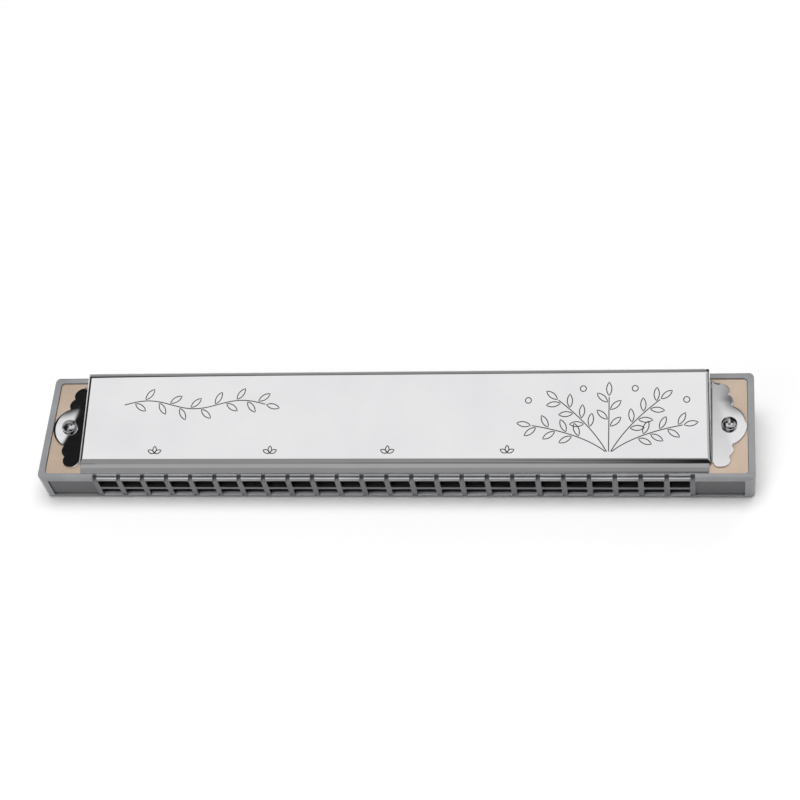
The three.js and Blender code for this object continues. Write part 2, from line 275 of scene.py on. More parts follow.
def bake(shape):
    """Gives shape the mesh that its modifiers make."""
    bpy.context.view_layer.update()
    graph = bpy.context.evaluated_depsgraph_get()
    rough = shape.data
    made = bpy.data.meshes.new_from_object(shape.evaluated_get(graph))
    shape.modifiers.clear()
    shape.data = made
    bpy.data.meshes.remove(rough)


def combine(shape, operation, *others):
    """Joins, cuts or intersects shape with each of the others, which are used up."""
    for other in others:
        modifier = shape.modifiers.new("combine", "BOOLEAN")
        modifier.operation = operation
        modifier.solver = "MANIFOLD"
        modifier.object = other
        bake(shape)
        bpy.data.objects.remove(other)


def soften(shape, width, segments=2, angle=32):
    """Rounds the sharp edges of shape. Its many-sided faces are cut into triangles first."""
    shape.modifiers.new("triangles", "TRIANGULATE").min_vertices = 5
    bevel = shape.modifiers.new("soften", "BEVEL")
    bevel.width = width
    bevel.segments = segments
    bevel.limit_method = "ANGLE"
    bevel.angle_limit = math.radians(angle)
    bake(shape)


def finish_piece(shape, name, material, stands_for=(), body="body", sharp_angle=40):
    """Names shape, puts it in the row frame, gives it its material and its body, and hides the CAD nodes
    that it stands for.
    """
    shape.name = name
    shape.data.name = name
    shape.data.transform(PLACE)
    shape.data.shade_smooth()
    shape.data.set_sharp_from_angle(angle=math.radians(sharp_angle))
    weighted = shape.modifiers.new("even_normals", "WEIGHTED_NORMAL")
    weighted.keep_sharp = True
    if not len(shape.data.materials):
        shape.data.materials.append(None)
    shape.data.materials[0] = material
    if body:
        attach(shape, body)
    if stands_for:
        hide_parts(*stands_for)


def mirrored(shape):
    """A copy of shape on the other face of the comb."""
    copy = shown(shape.data.copy())
    copy.data.transform(Matrix.Scale(-1, 4, (0, 0, 1)))
    copy.data.flip_normals()
    return copy


# ---- materials


class Nodes:
    """A few short calls for building one material. Underscores stand for the spaces in sockets' names."""

    def __init__(self, name, **values):
        self.material = bpy.data.materials.new(name)
        self.material.use_nodes = True
        self.tree = self.material.node_tree
        self.shader = self.filled(self.tree.nodes["Principled BSDF"], values)

    def filled(self, node, values):
        for socket, value in values.items():
            node.inputs[socket.replace("_", " ")].default_value = value
        return node

    def add(self, kind, **values):
        return self.filled(self.tree.nodes.new(kind), values)

    def link(self, source, output, target, socket):
        self.tree.links.new(source.outputs[output], target.inputs[socket])

    def noise(self, scale, detail=3, roughness=0.5, stretch=(1, 1, 1), turn=0.0):
        """Noise over object coordinates that are stretched and turned about Z."""
        mapping = self.add("ShaderNodeMapping", Scale=stretch, Rotation=(0, 0, turn))
        self.link(self.add("ShaderNodeTexCoord"), "Object", mapping, "Vector")
        node = self.add("ShaderNodeTexNoise", Scale=scale, Detail=detail, Roughness=roughness)
        self.link(mapping, "Vector", node, "Vector")
        return node

    def colour(self, source, low, high, low_at=0.3, high_at=0.7):
        """The base colour goes from low to high as the noise rises."""
        node = self.add("ShaderNodeValToRGB")
        for element, position, colour in zip(node.color_ramp.elements, (low_at, high_at), (low, high)):
            element.position = position
            element.color = (*colour, 1)
        self.link(source, "Fac", node, "Fac")
        self.link(node, "Color", self.shader, "Base Color")

    def roughness(self, source, low, high, low_at=0.0, high_at=1.0):
        node = self.add("ShaderNodeMapRange", From_Min=low_at, From_Max=high_at, To_Min=low, To_Max=high)
        self.link(source, "Fac", node, "Value")
        self.link(node, "Result", self.shader, "Roughness")

    def relief(self, *layers):
        """Bumps on top of each other, each a noise and its depth in metres."""
        under = None
        for source, depth in layers:
            node = self.add("ShaderNodeBump", Distance=depth, Strength=1)
            self.link(source, "Fac", node, "Height")
            if under:
                self.link(under, "Normal", node, "Normal")
            under = node
        self.link(under, "Normal", self.shader, "Normal")


def surface(name, cloud, low, high, grain=None, rough=(0, 1), relief=(), stops=(0.3, 0.7), **values):
    """A material whose colour follows the noise of cloud, and its roughness and relief that of grain."""
    nodes = Nodes(name, **values)
    clouds = nodes.noise(**cloud)
    nodes.colour(clouds, low, high, *stops)
    grains = nodes.noise(**grain) if grain else clouds
    nodes.roughness(grains, *rough)
    if relief:
        nodes.relief(*((nodes.noise(**wave) if wave else grains, depth) for wave, depth in relief))
    return nodes.material


def smoked_plastic(name, painted_brightness):
    """Smoke-grey moulded plastic, its colour scaled by painted_brightness: lighter and darker copies of it
    are painted light and painted shade on the comb.
    """
    low, high = ([painted_brightness * part for part in colour] for colour in ((0.235, 0.238, 0.25), (0.29, 0.293, 0.305)))
    return surface(name, {"scale": 120}, low, high, {"scale": 4500}, (0.26, 0.38), [(None, 0.000004)],
                   IOR=1.5)


# Polished cover steel with faint scratches, and handling haze that varies over the sheet.
MIRROR = surface(
    "mirror_steel", {"scale": 60, "detail": 4}, (0.86, 0.86, 0.875), (0.92, 0.92, 0.93),
    {"scale": 900, "detail": 2, "stretch": (0.04, 1, 1), "turn": 0.15}, (0.035, 0.085, 0.35, 0.75),
    [({"scale": 35, "detail": 1}, 0.00001), (None, 0.0000002)], Metallic=1)
# The floor of an engraved line: dull and dark.
ETCHED = surface("etched_steel", {"scale": 6000, "detail": 2}, [0.05] * 3, [0.11] * 3, None, (0.45, 0.7),
                 Metallic=0.6)
# Milled reed-plate brass, slightly pink, with a fine lengthwise grain and soft tarnish.
PLATE_BRASS = surface(
    "plate_brass", {"scale": 90, "detail": 5, "roughness": 0.6}, (0.66, 0.51, 0.39), (0.76, 0.61, 0.49),
    {"scale": 2500, "stretch": (0.03, 1, 1)}, (0.34, 0.5), [(None, 0.000004)], Metallic=0.55)
# Yellow spring brass with filing marks across the tongue.
REED_BRASS = surface(
    "reed_brass", {"scale": 300, "detail": 4}, (0.64, 0.47, 0.22), (0.8, 0.62, 0.32),
    {"scale": 7000, "detail": 2, "stretch": (0.05, 1, 1), "turn": 0.3}, (0.25, 0.42), [(None, 0.000006)],
    Metallic=1)
# Plated steel with small dark wear spots.
SCREW_STEEL = surface(
    "screw_steel", {"scale": 2500, "detail": 4}, (0.5, 0.5, 0.51), (0.8, 0.8, 0.82), None, (0.14, 0.05),
    [(None, 0.000003)], (0.35, 0.55), Metallic=1)
# Copies of one smoke-grey plastic at different brightness. The lip copy is painted light on the lip bars and
# the hole floors near the mouth. The face, shaded and deep copies are painted shade in the notches and
# groove, on the mouth face, the end panels and the rear edge, and deep in the holes.
COMB_LIT_AND_SHADED = [smoked_plastic(name, painted_brightness) for name, painted_brightness in (
    ("smoked_plastic", 1.0), ("smoked_plastic_painted_lit", 2.3), ("smoked_plastic_painted_half_shade", 0.5),
    ("smoked_plastic_shaded", 0.3), ("smoked_plastic_painted_deep_shade", 0.1))]
PLAIN, LIT_LIP, PAINTED_HALF_SHADE, SHADED, PAINTED_DEEP_SHADE = range(len(COMB_LIT_AND_SHADED))

# ---- comb


def slot_ends(node):
    """Front and back of the slot that a reed swings through, from the reed itself."""
    low, high = level_box(node)
    root = level_hinge(node).y
    tip = high.y if abs(high.y - root) > abs(low.y - root) else low.y
    tip += math.copysign(PLATE.slot_gap, tip - root)
    return min(root, tip), max(root, tip)


def mouth_holes(bm, side, low, high, back):
    """The holes of one row between two heights, from the mouth side to back."""
    half = COMB.chamber / 2
    heights = sorted((side * low, side * high))
    for x in COLUMN_X:
        outline = rounded_rectangle((x - half, x + half), heights, COMB.hole_corner, 3)
        prism(bm, outline, "Y", MOUTH_Y - PAST, back)


def chambers(bm, side):
    """The air chambers behind the mouth holes of one row, one behind each."""
    half = COMB.chamber / 2
    heights = sorted((side * COMB.partition / 2, side * (RECESS_FLOOR + PAST / 2)))
    for x, node in zip(COLUMN_X, UPPER_REEDS):
        back = slot_ends(node)[1] + COMB.tail
        outline = rounded_rectangle((x - half, x + half), (-RIM_INNER_Y, back), COMB.hole_corner, 3)
        prism(bm, outline, "Z", *heights)


def lip_groove(bm, side):
    """The groove along the mouth edge."""
    middle = MOUTH_Y + LIP.inset
    heights = sorted((side * (COMB_HALF - LIP.cut), side * (COMB_HALF + PAST)))
    outline = rounded_rectangle(
        (-ROW_HALF, ROW_HALF), (middle - LIP.groove / 2, middle + LIP.groove / 2), LIP.groove_corner, 2)
    prism(bm, outline, "Z", *heights)


def lip_notches(bm, side):
    """The notches that part the lip into one bar for each hole, down to the floor of the plate recess."""
    heights = sorted((side * RECESS_FLOOR, side * (COMB_HALF + PAST)))
    for edge in range(len(COLUMN_X) + 1):
        x = COLUMN_X[0] + (edge - 0.5) * PITCH
        outline = rounded_rectangle((x - LIP.notch / 2, x + LIP.notch / 2),
                                    (MOUTH_Y - PAST, MOUTH_Y + LIP.notch_reach), LIP.notch_corner, 2)
        prism(bm, outline, "Z", *heights)


def end_panels(bm):
    """The shallow sunk panels at the two ends of the mouth side."""
    inner = len(COLUMN_X) * PITCH / 2 + END_PANEL.gap
    outer = HALF_LENGTH - END_PANEL.pillar
    for span in ((inner, outer), (-outer, -inner)):
        outline = rounded_rectangle(span, centred(END_PANEL.height), END_PANEL.corner, 4)
        prism(bm, outline, "Y", MOUTH_Y - PAST, MOUTH_Y + END_PANEL.cut)


def plate_recess(bm, side):
    outline = rounded_rectangle(centred(2 * RIM_INNER_X), centred(2 * RIM_INNER_Y), COMB.recess_corner)
    prism(bm, outline, "Z", *sorted((side * RECESS_FLOOR, side * (COMB_HALF + PAST))))


def bore(bm, x, radius):
    """A round hole right through the instrument."""
    prism(bm, circle(radius, BORE_STEPS, x), "Z", -THROUGH, THROUGH)


def screw_holes(bm):
    for x in (-SCREW_X, SCREW_X):
        bore(bm, x, SCREW.hole)


def cutter(*makers):
    """One scratch object from several functions that each add shells to a mesh."""
    bm = bmesh.new()
    for maker, *values in makers:
        maker(bm, *values)
    return solid(bm)


def comb_painted_light_and_shade(centre, normal):
    """Which lit or shaded copy of the smoked plastic a face of the comb gets: painted light on the lip bars
    and on the hole floors near the mouth, painted shade in the notches, the groove, the end panels, on the
    rear edge, on the mouth face and deep in the holes. Narrow margins take in the softened edges.
    """
    height = abs(centre.z)
    depth = centre.y - MOUTH_Y
    edge = PAINTED_LIGHT_BOUNDS.margin
    lip_root = RECESS_FLOOR + LIP.flare
    rear_edge = centre.y > COMB_HIGH.y - COMB.rear_edge and normal.y > PAINTED_LIGHT_BOUNDS.facing_back
    if abs(centre.x) > ROW_HALF:
        panel = (edge < depth < END_PANEL.cut + edge and height < END_PANEL.height / 2
                 and abs(centre.x) < HALF_LENGTH - END_PANEL.pillar + edge)
        # Painted shade on the sunk end panels and on the rear edge.
        return SHADED if rear_edge or panel else PLAIN
    dividers = (centre.x - COLUMN_X[0]) / PITCH - 0.5
    in_notch = abs(dividers - round(dividers)) * PITCH < LIP.notch / 2 + edge
    # Painted shade in the notches between the lip bars.
    if in_notch and depth < COMB.rim and height > RECESS_FLOOR - edge:
        return PAINTED_HALF_SHADE
    # Painted shade in the lip groove, painted highlight on the lip bars.
    if depth < COMB.rim + edge and height > lip_root + edge:
        if abs(depth - LIP.inset) < LIP.groove / 2 and height < COMB_HALF - LIP.cut + edge:
            return PAINTED_HALF_SHADE
        return LIT_LIP if depth < LIP.inset and normal.y > PAINTED_LIGHT_BOUNDS.facing_mouth else PLAIN
    # Painted light on the hole floors near the mouth, painted deep shade further into the holes.
    if depth > 3 * edge and height < lip_root + edge and centre.y < RIM_INNER_Y:
        on_floor = depth < LIP.bright and abs(normal.z) > PAINTED_LIGHT_BOUNDS.level and height > RECESS_FLOOR
        return LIT_LIP if on_floor else PAINTED_DEEP_SHADE
    # Painted shade on the rest of the mouth face.
    if depth < COMB.rim:
        return PAINTED_HALF_SHADE
    return SHADED if rear_edge else PLAIN


def paint_light_and_shade_on_comb(comb):
    """Cuts the faces where the painted light and shade change and gives every face its lit or shaded copy of
    the plastic.
    """
    bm = bmesh.new()
    bm.from_mesh(comb.data)
    planes = [((0, 0, side * (RECESS_FLOOR + LIP.flare)), (0, 0, 1)) for side in (-1, 1)]
    planes.append(((0, MOUTH_Y + LIP.bright, 0), (0, 1, 0)))
    for point, normal in planes:
        bmesh.ops.bisect_plane(bm, geom=bm.verts[:] + bm.edges[:] + bm.faces[:],
                               plane_co=point, plane_no=normal)
    bm.to_mesh(comb.data)
    bm.free()
    comb.data.materials.clear()
    for material in COMB_LIT_AND_SHADED:
        comb.data.materials.append(material)
    for face in comb.data.polygons:
        face.material_index = comb_painted_light_and_shade(face.center, face.normal)


def both_sides(maker, *values):
    return [(maker, side, *values) for side in (1, -1)]


def make_comb():
    depth = COMB_HIGH.y - COMB_LOW.y
    edges = [COMB.mouth_edge, COMB.rear_edge, COMB.rear_edge, COMB.mouth_edge]
    section = rounded_rectangle(centred(depth), centred(2 * COMB_HALF), edges)
    plan = rounded_rectangle(centred(2 * HALF_LENGTH), centred(depth), COMB.corner, 8)
    comb = cutter((prism, section, "X", -HALF_LENGTH, HALF_LENGTH))
    combine(comb, "INTERSECT", cutter((prism, plan, "Z", -COMB_HALF - PAST, COMB_HALF + PAST)))
    for makers in (
        both_sides(plate_recess),
        both_sides(mouth_holes, COMB.partition / 2, RECESS_FLOOR, PAST - RIM_INNER_Y),
        both_sides(chambers),
        both_sides(mouth_holes, RECESS_FLOOR - PAST, RECESS_FLOOR + LIP.flare, MOUTH_Y + LIP.flare_reach),
        both_sides(lip_groove) + [(end_panels,)],
        both_sides(lip_notches) + [(screw_holes,)],
    ):
        combine(comb, "DIFFERENCE", cutter(*makers))
    soften(comb, COMB.soften)
    paint_light_and_shade_on_comb(comb)
    finish_piece(comb, "smoked_comb", COMB_LIT_AND_SHADED[PLAIN], ["comb"])


# ---- reed plates, reeds and rivets


def reed_facts(node):
    """Where a reed's hinge, tip, pad and rivet are. outward is the way it stands off its plate in Z."""
    low, high = level_box(node)
    hinge = level_hinge(node)
    back = 1 if abs(high.y - hinge.y) > abs(low.y - hinge.y) else -1
    side = 1 if node.startswith("upper") else -1
    plate_middle = side * (PLATE_INNER + PLATE_OUTER) / 2
    outward = 1 if (low.z + high.z) / 2 > plate_middle else -1
    return Sizes(
        x=hinge.x, root=hinge.y, along=back, length=abs((high.y if back > 0 else low.y) - hinge.y),
        half_width=(high.x - low.x) / 2, outward=outward, face=plate_middle + outward * PLATE.thickness / 2,
        rivet_y=hinge.y - back * REED.pad_length / 2)


def tongue_thickness(share):
    """Thickness of a tongue at a share of its length: filed thin in the middle, heavier at the tip."""
    thinnest = REED.thinnest_at
    if share < thinnest:
        return REED.root + (REED.belly - REED.root) * math.sin(share / thinnest * math.pi / 2)
    rise = (share - thinnest) / (1 - thinnest)
    return REED.belly + (REED.tip - REED.belly) * rise * rise


def reed_stations(facts):
    """Sections of a reed as (distance from the hinge, half width, bottom, top) above the plate."""
    pad_half = facts.half_width + REED.pad_lap
    pad_top = REED.pad_base + REED.pad
    ease = REED.ease
    back = -REED.pad_length
    stations = [
        (back, pad_half - ease, REED.pad_base, pad_top - ease / 2),
        (back + ease, pad_half, REED.pad_base, pad_top),
        (-ease, pad_half, REED.pad_base, pad_top),
        (0.0, pad_half - ease, REED.pad_base, pad_top - ease / 2),
    ]
    for share in spread(REED.first_share, 1, 16):
        half = facts.half_width * (1 - (1 - REED.tip_narrowing) * share)
        top = REED.lift + tongue_thickness(share)
        stations.append((share * (facts.length - ease / 2), half, REED.lift, top))
    distance, half, bottom, top = stations[-1]
    stations.append((facts.length, half - ease / 2, bottom + ease / 6, top - ease / 6))
    return stations


def chamfered(half, bottom, top, chamfer):
    """The eight corners of a chamfered rectangle as (across, height) pairs."""
    return [
        (-half + chamfer, bottom), (half - chamfer, bottom), (half, bottom + chamfer),
        (half, top - chamfer), (half - chamfer, top), (-half + chamfer, top),
        (-half, top - chamfer), (-half, bottom + chamfer),
    ]


def make_reed(node):
    facts = reed_facts(node)
    bm = bmesh.new()
    rings = []
    for distance, half, bottom, top in reed_stations(facts):
        y = facts.root + facts.along * distance
        rings.append([bm.verts.new((facts.x + across, y, facts.face + facts.outward * height))
                      for across, height in chamfered(half, bottom, top, REED.chamfer)])
    join_rings(bm, rings)
    reed = solid(bm)
    finish_piece(reed, f"brass_{node}", REED_BRASS, [node], body=None)
    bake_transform(reed)


def rivet_profile(facts):
    """From the middle of the domed head to the middle of the flat tail, as (radius, height) pairs."""
    pad_top = REED.pad_base + REED.pad
    dome = [(RIVET.radius * math.cos(a), pad_top + RIVET.head * math.sin(a))
            for a in quarter(6)]
    tail = -PLATE.thickness - RIVET.tail
    profile = [(0, pad_top + RIVET.head)] + dome[::-1]
    profile += [(RIVET.hole, pad_top), (RIVET.hole, -PLATE.thickness)]
    profile += [(RIVET.tail_radius, -PLATE.thickness), (RIVET.tail_radius, tail + RIVET.tail_rise),
                (RIVET.tail_radius - RIVET.tail_inset, tail), (0, tail)]
    return [(radius, facts.face + facts.outward * height) for radius, height in profile]


def make_rivets(half):
    """All the rivets of one plate. half is "upper" or "lower"."""
    bm = bmesh.new()
    for node in REED_NODES:
        if node.startswith(half):
            facts = reed_facts(node)
            lathe(bm, rivet_profile(facts), facts.x, facts.rivet_y, 20)
    finish_piece(solid(bm), f"{half}_rivets", REED_BRASS)


def plate_heights(half, past=0.0):
    """The heights between which a plate lies, and past on either side of it."""
    low, high = PLATE_INNER - past, PLATE_OUTER + past
    return (low, high) if half == "upper" else (-high, -low)


def slots(bm, half):
    low, high = plate_heights(half, PAST)
    for node in REED_NODES:
        if node.startswith(half):
            facts = reed_facts(node)
            front, back = slot_ends(node)
            reach = facts.half_width + PLATE.slot_gap
            outline = rounded_rectangle(
                (facts.x - reach, facts.x + reach), (front, back), PLATE.slot_corner, 2)
            prism(bm, outline, "Z", low, high)
            hole = circle(RIVET.hole + RIVET.hole_gap, 20, facts.x, facts.rivet_y)
            prism(bm, hole, "Z", low, high)


def make_plate(half):
    outline = rounded_rectangle(
        centred(2 * (RIM_INNER_X - PLATE.slide)), centred(2 * (RIM_INNER_Y - PLATE.slide)),
        PLATE.corner)
    plate = cutter((prism, outline, "Z", *plate_heights(half)))
    combine(plate, "DIFFERENCE", cutter((slots, half), (screw_holes,)))
    soften(plate, PLATE.soften, segments=1)
    finish_piece(plate, f"{half}_brass_plate", PLATE_BRASS, [f"{half}_reed_plate"])


# ---- covers

BEND_STEPS = 5
ROLL_STEPS = 9
PANEL_STEPS = 5
TOP_STEPS = 24
LOBE_STEPS = 7
EAR_STEPS = 14
BULGE_STEPS = 28


def cover_section():
    """The outer line of a cover from the foot of its front flange to the end of its rolled rear edge.

    Returns the flange, the fold and the roll, each a list of (point, normal) with the point as (y, z)."""
    top = Vector((math.cos(COVER_SLOPE), math.sin(COVER_SLOPE)))
    turned = COVER_SLOPE - COVER.roll_turn
    down = Vector((math.cos(turned), math.sin(turned)))
    crown = Vector((COVER.crown_y, CROWN_Z))
    reach = COVER.roll * math.tan(COVER.roll_turn / 2)
    corners = [
        (COVER.flange_y, COVER_FOOT), (COVER.flange_y, COVER_FOOT + COVER.lip),
        (COVER.flange_middle_y, COMB_HALF + COVER.flange_middle_rise),
        (COVER.step_y, COMB_HALF + COVER.step_rise), (COVER.fold_y, FOLD_Z),
        crown + top * reach, crown + (top + down) * reach,
    ]
    radii = [COVER.lip_bend, COVER.flange_bend, COVER.step_bend, COVER.fold_bend, COVER.roll]
    line = filleted(corners, radii, BEND_STEPS)
    fold_start = 1 + 3 * (BEND_STEPS + 1)
    roll = filleted(corners[4:], radii[4:], ROLL_STEPS)[1:-1]
    return line[:fold_start + 1], line[fold_start:fold_start + BEND_STEPS + 1], roll


def bulged(start, end, bulge, steps):
    """Points after start up to end on an arc that stands off its chord by bulge."""
    start, end = Vector(start), Vector(end)
    chord = end - start
    normal = Vector((chord.y, -chord.x)).normalized()
    radius = (chord.length_squared / 4 + bulge * bulge) / (2 * bulge)
    centre = (start + end) / 2 + normal * (bulge - radius)
    opening = 2 * math.asin(chord.length / 2 / radius)
    spoke = start - centre
    return [centre + Matrix.Rotation(opening * step / steps, 2) @ spoke for step in range(1, steps + 1)]


def ear_outline(front_extra, back_extra):
    """Outer line of the treble ear from front to back: rounded corner, two lobes, bulge, two lobes."""
    inset, rise = EAR.corner
    corner_x, notch_x, bulge_x = EAR.lobe_x
    notch_y, bulge_y = EAR.lobe_y
    stops = [(corner_x, EAR.front + rise), (notch_x, -notch_y), (bulge_x, -bulge_y),
             (bulge_x, bulge_y), (notch_x, notch_y), (corner_x, EAR.back - rise)]
    outer, inner, middle = EAR.bulges
    line = [Vector((corner_x - inset * (1 - share) ** 2, EAR.front + rise * share ** 2))
            for share in spread(0, 1, front_extra)]
    for start, end, bulge in zip(stops, stops[1:], (outer, inner, middle, inner, outer)):
        line += bulged(start, end, bulge, BULGE_STEPS if bulge == middle else LOBE_STEPS)
    line += [Vector((corner_x - inset * share ** 2, EAR.back - rise * (1 - share) ** 2))
             for share in spread(0, 1, back_extra)[1:]]
    return line


def ear_height(x, y):
    """Height of an ear's upper face: the screw pulls its middle down, so its bulge rises outwards."""
    past = x - EAR.crease + EAR.skew * max(-EAR.dish_half, min(EAR.dish_half, y))
    ease = EAR.ease
    if past <= 0:
        return EAR_TOP
    bend = past * past / (2 * ease) if past < ease else past - ease / 2
    fade = 1 / (1 + (abs(y) / EAR.dish_half) ** EAR.dish_fade)
    return EAR_TOP + math.tan(EAR.dish) * bend * fade


def side_column(point, normal, ear_point, most_bend):
    """One line down a cover's end: round its top edge, down its panel, round to its ear, out to its rim."""
    room = point.y - EAR_TOP - COVER.ear_bend - COVER.panel_least
    bend = min(most_bend, room)
    lean = math.atan(COVER.draft)
    across = Vector((math.cos(lean), 0, math.sin(lean)))
    upward = Vector((0, normal.x, normal.y))
    centre = Vector((0, point.x, point.y)) - upward * bend
    centre.x = COVER.foot_half - (bend + math.sin(lean) * (centre.z - COVER_FOOT)) / math.cos(lean)
    opening = upward.angle(across)
    line = []
    for share in spread(0, 1, BEND_STEPS):
        mixed = (upward * math.sin((1 - share) * opening) + across * math.sin(share * opening))
        line.append(centre + mixed / math.sin(opening) * bend)
    top = line[-1]
    foot_turn = math.pi / 2 - lean
    reach = COVER.ear_bend * math.tan(foot_turn / 2)
    foot_x = COVER.foot_half - COVER.draft * (EAR_TOP - COVER_FOOT)
    slant = Vector((-math.sin(lean), 0, math.cos(lean)))
    bend_start = Vector((foot_x, top.y, EAR_TOP)) + slant * reach
    line += [top.lerp(bend_start, share) for share in spread(0, 1, PANEL_STEPS)[1:]]
    hub = bend_start + across * COVER.ear_bend
    for share in spread(0, 1, BEND_STEPS)[1:]:
        angle = lean + math.pi + foot_turn * share
        line.append(hub + Vector((math.cos(angle), 0, math.sin(angle))) * COVER.ear_bend)
    inner = line[-1]
    for share in spread(0, 1, EAR_STEPS)[1:]:
        x = inner.x + (ear_point.x - inner.x) * share
        y = inner.y + (ear_point.y - inner.y) * share * (2 - share)
        line.append(Vector((x, y, ear_height(x, y))))
    return line


def cover_rows():
    """Rows of points across a cover from front to back, each from the bass rim to the treble rim."""
    flange, fold, roll = cover_section()
    outline = ear_outline(len(fold) - 1, len(roll) - 1)
    flat_count = len(outline) - len(fold) - len(roll)
    start, end = fold[-1][0], roll[0][0]
    normal = fold[-1][1]
    flat = [(start.lerp(end, (index + 1) / (flat_count + 1)), normal) for index in range(flat_count)]
    flat_shares = spread(-1, 1, TOP_STEPS)
    rows = []
    stations = fold + flat + roll
    before_roll = len(stations) - len(roll)
    for index, (point, outward) in enumerate(stations):
        rolled = max(0, index - before_roll) / (len(roll) - 1)
        tightened = min(1, COVER.tighten * rolled)
        most_bend = COVER.edge_bend + (COVER.corner_bend - COVER.edge_bend) * tightened
        right = side_column(point, outward, outline[index], most_bend)
        left = [Vector((-place.x, place.y, place.z)) for place in reversed(right)]
        middle = [Vector((right[0].x * share, point.x, point.y)) for share in flat_shares[1:-1]]
        rows.append(left + middle + right)
    half = rows[0][-len(right)].x
    lip = [[Vector((half * share, point.x, point.y)) for share in flat_shares] for point, _ in flange[:-1]]
    return lip, rows, len(right)


def cover_sheet():
    """The outer face of a cover as one open sheet."""
    lip, rows, side_count = cover_rows()
    bm = bmesh.new()
    grid, strip = ([[bm.verts.new(place) for place in row] for row in part] for part in (rows, lip))
    strip.append(grid[0][side_count - 1:len(grid[0]) - side_count + 1])
    for part in (grid, strip):
        for row, following in zip(part, part[1:]):
            for index in range(len(row) - 1):
                bm.faces.new((row[index], row[index + 1], following[index + 1], following[index]))
    return drawn(bm)


def cover_shape():
    """A whole upper cover in sheet of even thickness."""
    cover = cover_sheet()
    thicken = cover.modifiers.new("thicken", "SOLIDIFY")
    thicken.thickness = COVER.sheet
    thicken.offset = -1
    bake(cover)
    combine(cover, "DIFFERENCE", cutter((screw_holes,)))
    soften(cover, COVER.rim_soften, angle=50)
    return cover


# ---- engraving of the upper cover

GROOVE = Sizes(width=0.3, floor=0.2, depth=0.1, above=0.1)
# A face is etched where it lies inside the top's edges and between these depths.
ETCH = Sizes(half=77.5, inset=1.0, least=0.002, most=1.5 * GROOVE.depth)
STEM = Sizes(bare=0.34, leaf=(3.5, 1.3), turn=48, gap=0.35)
# Reaches and heights are from the spray's root and from the middle of the cover's slope.
SPRAY = Sizes(
    root=(55.0, -9.4), start=(0.04, 0.6), bend=(0.35, 0.45), arch=0.1, stems=((-19.0, -2.0, 6), (-12.5, 4.6,
    6), (0.0, 5.4, 4), (12.5, 4.6, 6), (18.0, -2.0, 6)), berries=((-20.0, 4.6), (-6.4, 7.6), (6.4, 7.6),
    (19.0, 4.6)), berry_radius=0.75)
WAVE = Sizes(start=-69.0, end=-32.0, middle=4.0, rise=1.1, leaves=12)
TRIO = Sizes(leaf=(1.9, 0.9), turns=(25, 90, 155), middle=-9.0, first=-60, past_last=31, step=30)


def on_top(u, v, height):
    """A point over the upper cover's flat top: u along it, v up its slope from the middle."""
    y = v * math.cos(COVER_SLOPE) - height * math.sin(COVER_SLOPE)
    middle_z = FOLD_Z - COVER.fold_y * math.tan(COVER_SLOPE)
    return (u, y, middle_z + v * math.sin(COVER_SLOPE) + height * math.cos(COVER_SLOPE))


def placed(points, u, v, turn):
    """A stroke moved to (u, v) and turned by degrees."""
    spin = Matrix.Rotation(math.radians(turn), 2)
    return [spin @ Vector(point) + Vector((u, v)) for point in points]


def leaf(length, width, steps=9):
    """A closed stroke from (0, 0) to (length, 0), pointed at both ends."""
    side = [(length * share, width / 2 * math.sin(math.pi * share) ** 0.8) for share in spread(0, 1, steps)]
    return side + [(along, -across) for along, across in side[-2:0:-1]]


def curve(start, bend, end, steps=24):
    """An open stroke from start to end, drawn towards bend in its middle."""
    first, middle, last = Vector(start), Vector(bend), Vector(end)
    return [first.lerp(middle, share).lerp(middle.lerp(last, share), share) for share in spread(0, 1, steps)]


def wave(steps=40):
    """An open stroke along the cover that swings three times about its middle."""
    return [Vector((u, WAVE.middle + WAVE.rise * math.sin(3 * math.pi * share)))
            for u, share in zip(spread(WAVE.start, WAVE.end, steps), spread(0, 1, steps))]


def leafy_stem(stem, leaves, bare=0.0):
    """A stem with leaves in turn to either side above its bare share, and one at its tip."""
    strokes = [(stem, False)]
    for index in range(leaves + 1):
        at_tip = index == leaves
        share = bare + (1 - bare) * (index + 1) / (leaves + 0.5)
        at = -1 if at_tip else round(share * (len(stem) - 1))
        ahead = (stem[at] - stem[at - 1]).normalized()
        side = 1 if index % 2 else -1
        offset = ahead if at_tip else left_of(ahead) * side
        heading = math.degrees(math.atan2(ahead.y, ahead.x)) + (0 if at_tip else STEM.turn * side)
        strokes.append((placed(leaf(*STEM.leaf), *(stem[at] + offset * STEM.gap), heading), True))
    return strokes


def spray():
    """Leafy stems that fan out of one root, with berries between them."""
    u, v = SPRAY.root
    strokes = []
    for reach, height, leaves in SPRAY.stems:
        start = (u + SPRAY.start[0] * reach, v + SPRAY.start[1])
        bend = (u + SPRAY.bend[0] * reach,
                v + SPRAY.bend[1] * (height - v) + SPRAY.arch * abs(reach))
        strokes += leafy_stem(curve(start, bend, (u + reach, height)), leaves, STEM.bare)
    return strokes + [(circle(SPRAY.berry_radius, 14, u + reach, height), True)
                      for reach, height in SPRAY.berries]


def leaf_trios():
    return [(placed(leaf(*TRIO.leaf), u, TRIO.middle, turn), True)
            for u in range(TRIO.first, TRIO.past_last, TRIO.step) for turn in TRIO.turns]


